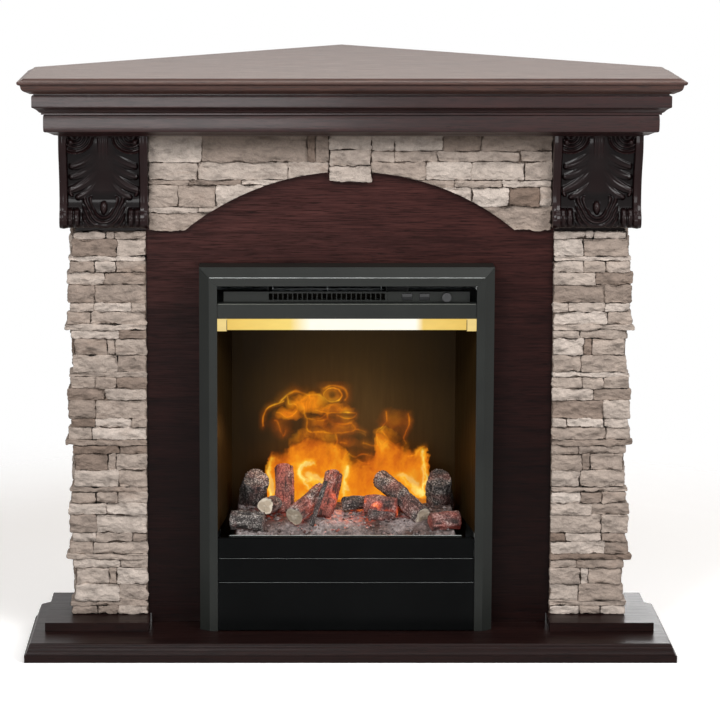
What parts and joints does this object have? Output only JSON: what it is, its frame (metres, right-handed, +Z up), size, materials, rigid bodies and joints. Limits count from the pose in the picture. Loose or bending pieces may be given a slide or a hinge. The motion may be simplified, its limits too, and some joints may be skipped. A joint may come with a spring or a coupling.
{
  "type": "corner fireplace",
  "caption": "Corner electric fireplace: dark moulded mantel and hearth, stone pillars and arch with carved corbels, and a mist-flame insert with drawer, log bed and heater.",
  "frame": {"origin": "middle of the bounding box on the floor", "axes": "+Z up; the front faces -Y; the room corner that the two 45 degree wall edges fit is towards +Y; +X is to the right seen from the front"},
  "size_m": [1.128, 0.844, 1],
  "materials": {
    "wood_veneer": "dark wenge veneer under satin lacquer",
    "raw_board": "unfinished fibreboard and timber",
    "ledger_stone": "split ledger stone, pinkish grey-beige",
    "black_steel": "black satin paint",
    "zinc_sheet": "zinc-coated sheet",
    "light_diffuser": "lit, warm white to gold",
    "dark_plastic": "fine texture",
    "tank_plastic": "smoky see-through",
    "element": "heat-stained ribbon",
    "lamp_glass": "halogen reflector lamp",
    "ember_resin": "painted ash, embers and charred wood",
    "log_resin": "painted bark with pale sawn ends"
  },
  "bodies": {
    "fireplace": {"mantel_shelf": "wood_veneer", "cornice_upper_front": "wood_veneer", "cornice_upper_left": "wood_veneer", "cornice_upper_right": "wood_veneer", "cornice_lower_front": "wood_veneer", "cornice_lower_left": "wood_veneer", "cornice_lower_right": "wood_veneer", "hearth_slab": "wood_veneer", "hearth_moulding": "wood_veneer", "plinth_left": "wood_veneer", "plinth_right": "wood_veneer", "corbel_left": "wood_veneer", "corbel_right": "wood_veneer", "infill_panel": "wood_veneer", "pillar_case_left": "wood_veneer", "pillar_case_right": "wood_veneer", "soffit_board": "raw_board", "rear_post": "raw_board", "stone_pillar_left": "ledger_stone", "stone_pillar_right": "ledger_stone", "stone_arch_left": "ledger_stone", "stone_arch_right": "ledger_stone", "keystone": "ledger_stone", "trim_left": "black_steel", "trim_right": "black_steel", "trim_top": "black_steel", "hood_bar": "black_steel", "liner_left": "black_steel", "liner_right": "black_steel", "rear_screen": "black_steel", "chamber_ceiling": "black_steel", "heater_grille": "black_steel", "control_plate": "black_steel", "fire_case": "zinc_sheet", "case_base": "zinc_sheet", "case_back": "zinc_sheet", "heater_housing": "zinc_sheet", "runner_left": "zinc_sheet", "runner_right": "zinc_sheet", "light_strip": "light_diffuser", "light_cap_left": "light_diffuser", "light_cap_right": "light_diffuser", "cable_gland": "dark_plastic", "fan_motor": "dark_plastic", "heating_element": "element"},
    "drawer": {"drawer_front": "black_steel", "drawer_tray": "zinc_sheet", "water_tank": "tank_plastic", "mist_sump": "dark_plastic", "lamp_left": "lamp_glass", "lamp_right": "lamp_glass"},
    "ember_bed": {"fuel_bed": "ember_resin", "log_left": "log_resin", "log_right": "log_resin", "log_cross": "log_resin", "log_front": "log_resin"},
    "flame_rocker": {"flame_switch": "dark_plastic"},
    "heat_rocker": {"heat_switch": "dark_plastic"},
    "knob": {"flame_knob": "dark_plastic"},
    "fan": {"fan_rotor": "zinc_sheet"}
  },
  "joints": [
    {"name": "drawer_slide", "type": "slide", "parent": "fireplace", "child": "drawer", "axis": [0, -1, 0], "range_m": [0, 0.18]},
    {"name": "bed_lift", "type": "slide", "parent": "drawer", "child": "ember_bed", "axis": [0, 0, 1], "range_m": [0, 0.08]},
    {"name": "flame_rocker_tip", "type": "hinge", "parent": "fireplace", "child": "flame_rocker", "pos_m": [0.098, -0.3093, 0.61815], "axis": [1, 0, 0], "range_deg": [-16, 0]},
    {"name": "heat_rocker_tip", "type": "hinge", "parent": "fireplace", "child": "heat_rocker", "pos_m": [0.128, -0.3093, 0.61815], "axis": [1, 0, 0], "range_deg": [-16, 0]},
    {"name": "knob_turn", "type": "hinge", "parent": "fireplace", "child": "knob", "pos_m": [0.166, -0.3078, 0.61815], "axis": [0, 1, 0], "range_deg": [0, 270]},
    {"name": "fan_spin", "type": "hinge", "parent": "fireplace", "child": "fan", "pos_m": [-0.006, -0.25, 0.622], "axis": [1, 0, 0], "continuous": true}
  ]
}
